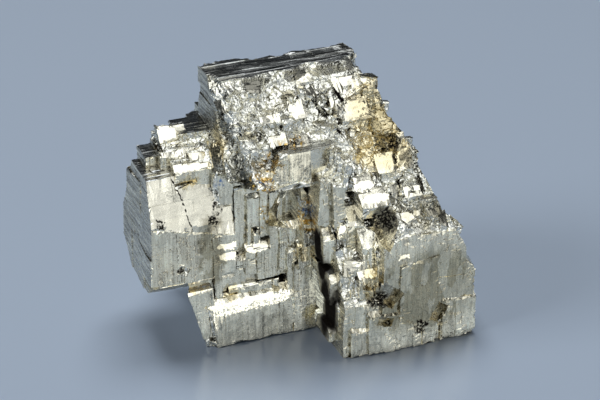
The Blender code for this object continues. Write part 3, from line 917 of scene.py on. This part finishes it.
def zoned_colour(g, fields, name):
    """Silver or gold, lighter on the fronts and darker on the tops as painted light and shade, dulled and
    darkened with painted shade in patches, with the grey band and the stains.
    """
    tone = g.noise(fields.place, GOLD_SCALE, detail=2.0)
    gold = g.ramp(tone, *GOLD_RANGE, 0.0, GOLD_MOST)
    gold = g.math("MAXIMUM", gold, g.blobs(fields.drifting, GOLD_ZONES))
    colour = g.mix(gold, BASE.get(name, SILVER), GOLD)
    patches = g.noise(g.scaled(fields.place, PATCH_SCALE), 1.0, detail=4.0)
    patches = g.ramp(patches, *PATCH_RANGE, PATCH_LEAST, 1.0)
    # Painted shade: the dull zones darken the colour in patches
    dull_and_shade = g.math("MULTIPLY", g.blobs(fields.drifting, DULL_AND_SHADE_ZONES), patches)
    colour = g.mix(dull_and_shade, colour, DULL_AND_SHADE, blend="MULTIPLY")
    colour = g.mix(g.cracks(fields.wavy, GREY_BAND), colour, GREY, blend="MULTIPLY")
    stain = g.ramp(g.noise(fields.place, STAIN_SCALE, detail=3.0), *STAIN_RANGE)
    colour = g.mix(g.math("MULTIPLY", stain, g.blobs(fields.drifting, RUST_ZONES)), colour, RUST)
    return g.mix(g.math("MULTIPLY", stain, g.blobs(fields.drifting, BLUE_ZONES)), colour, BLUE)


def hole_and_crack_shade(g, fields):
    """1 where the shade inside pits, cracks and grooves is painted black."""
    hole_shade = g.math("MULTIPLY", g.blobs(fields.drifting, PIT_ZONES), g.ramp(fields.speckle, *PIT_RANGE))
    hole_shade = g.math("MAXIMUM", hole_shade, g.blobs(fields.wavy, CRACK_ZONES))
    return g.math("MAXIMUM", hole_shade, g.cracks(g.drifting(fields.place, *CRACK_DRIFT), CRACKS))


def leaning_normal(g, fields, name):
    """The surface's normal, leaned back on the fronts and up or forward near the top's edge."""
    normal = g.node("NewGeometry").outputs["Normal"]
    if name == "front":
        normal = g.node("VectorMath", {0: normal, 1: LEAN_BACK}, operation="ADD").outputs[0]
        for zone, lean in LEANS:
            normal = g.leaned(normal, lean, g.blob(fields.place, *zone))
    if name in ("rough", "plate"):
        shelf = g.math("MULTIPLY", g.cracks(fields.wavy, SHELVES), SHELF_STRENGTH)
        normal = g.normalised(g.leaned(normal, SHELF_NORMAL, shelf))
    if name in ("top", "rough", "plate"):
        streak = g.ramp(g.noise(g.scaled(fields.place, STREAK_SCALE), 1.0), *STREAK_RANGE)
        on_top = name == "top"
        zone = g.blobs(fields.wavy, BRIGHT_STREAKS) if on_top else g.cracks(fields.wavy, SHELVES[:1])
        normal = g.leaned(normal, LEAN_FORWARD, g.math("MULTIPLY", streak, zone))
    return normal


def add_cells(g, fields, name, normal, colour):
    """Breaks the facet into small crystal faces, each with its own lean and tone."""
    sparkle = g.ramp(g.blobs(fields.drifting, SPARKLE_ZONES), 0.0, 1.0, 1.0, SPARKLE[name])
    for stretch, lean, difference in CELLS[name]:
        off, shade = g.cells(fields.wavy, stretch, lean, difference)
        normal = g.leaned(normal, off, sparkle)
        colour = g.mix(1.0, colour, shade, blend="MULTIPLY")
    return normal, colour


def add_glints(g, fields, normal):
    """Turns small plates and bands of grains to the light."""
    grains = g.ramp(fields.speckle, *BAND_RANGE, 0.0, BAND_MOST)
    band = g.math("MULTIPLY", g.cracks(fields.ragged, GLINT_BANDS), grains)
    glint = g.math("MAXIMUM", g.blobs(fields.ragged, GLINTS), band)
    return g.leaned(normal, GLINT_NORMAL, g.math("MULTIPLY", glint, GLINT_STRENGTH))


def add_cream(g, fields, normal, colour):
    cream = g.blobs(fields.wavy, CREAM_ZONES)
    normal = g.leaned(normal, CREAM_NORMAL, g.math("MULTIPLY", cream, CREAM_STRENGTH))
    return normal, g.mix(cream, colour, CREAM)


def shaded(g, fields, name, contrast, colour):
    """The colour with darker striations and painted shade in the recesses."""
    shade = g.ramp(fields.stripes, *STRIPE_RANGE, 1.0 - contrast, STRIPE_BRIGHT)
    colour = g.mix(1.0, colour, shade, blend="MULTIPLY")
    reach = {"Distance": RECESS_REACH * MM}
    # Painted shade: the colour darkens towards near-black where the surface is enclosed
    openness = g.node("AmbientOcclusion", reach, samples=RECESS_SAMPLES, only_local=True).outputs["AO"]
    return g.mix(g.ramp(openness, RECESS_START[name], RECESS_END), colour, RECESS_SHADE)


def bumped(g, height, depth, normal):
    inputs = {"Height": height, "Strength": 1.0, "Distance": depth * BUMP_SCALE, "Normal": normal}
    return g.node("Bump", inputs).outputs[0]


def pyrite_material(name):
    stretch, contrast, groove, grain, roughness = SURFACES[name]
    material, tree, shader = node_material("pyrite_" + name)
    g = Graph(tree)
    fields = Fields(g, stretch)
    hole_shade = hole_and_crack_shade(g, fields)

    colour = zoned_colour(g, fields, name)
    normal = leaning_normal(g, fields, name)
    normal, colour = add_cells(g, fields, name, normal, colour)
    normal = add_glints(g, fields, normal)
    normal, colour = add_cream(g, fields, normal, colour)
    colour = shaded(g, fields, name, contrast, colour)
    gloss = g.ramp(fields.speckle, *GLOSS_RANGE, roughness - GLOSSIER, roughness + DULLER)
    fine = bumped(g, fields.speckle, grain, g.normalised(normal))

    # Painted shade: pits, cracks and grooves are near black
    g.set(shader.inputs["Base Color"], g.mix(hole_shade, colour, HOLE_SHADE_BLACK))
    shader.inputs["Metallic"].default_value = 1.0
    g.set(shader.inputs["Roughness"], g.math("MAXIMUM", gloss, g.math("MULTIPLY", hole_shade, PIT_ROUGHNESS)))
    g.set(shader.inputs["Normal"], bumped(g, fields.stripes, groove, fine))
    return material


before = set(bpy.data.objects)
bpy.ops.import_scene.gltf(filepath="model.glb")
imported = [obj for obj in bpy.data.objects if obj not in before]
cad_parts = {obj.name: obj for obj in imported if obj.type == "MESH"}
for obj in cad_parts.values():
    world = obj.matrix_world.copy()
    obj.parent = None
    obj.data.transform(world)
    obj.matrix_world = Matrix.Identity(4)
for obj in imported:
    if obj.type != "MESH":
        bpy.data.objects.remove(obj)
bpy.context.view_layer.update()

bpy.context.scene.view_settings.view_transform = "Standard"
add_camera()
add_world()
add_lights()
add_floor()
piece = bpy.data.objects.new("pyrite", build_mesh(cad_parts[NODE].data))
bpy.context.scene.collection.objects.link(piece)
for name in SLOTS:
    piece.data.materials.append(pyrite_material(name))
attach(piece, "root")
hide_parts(NODE)
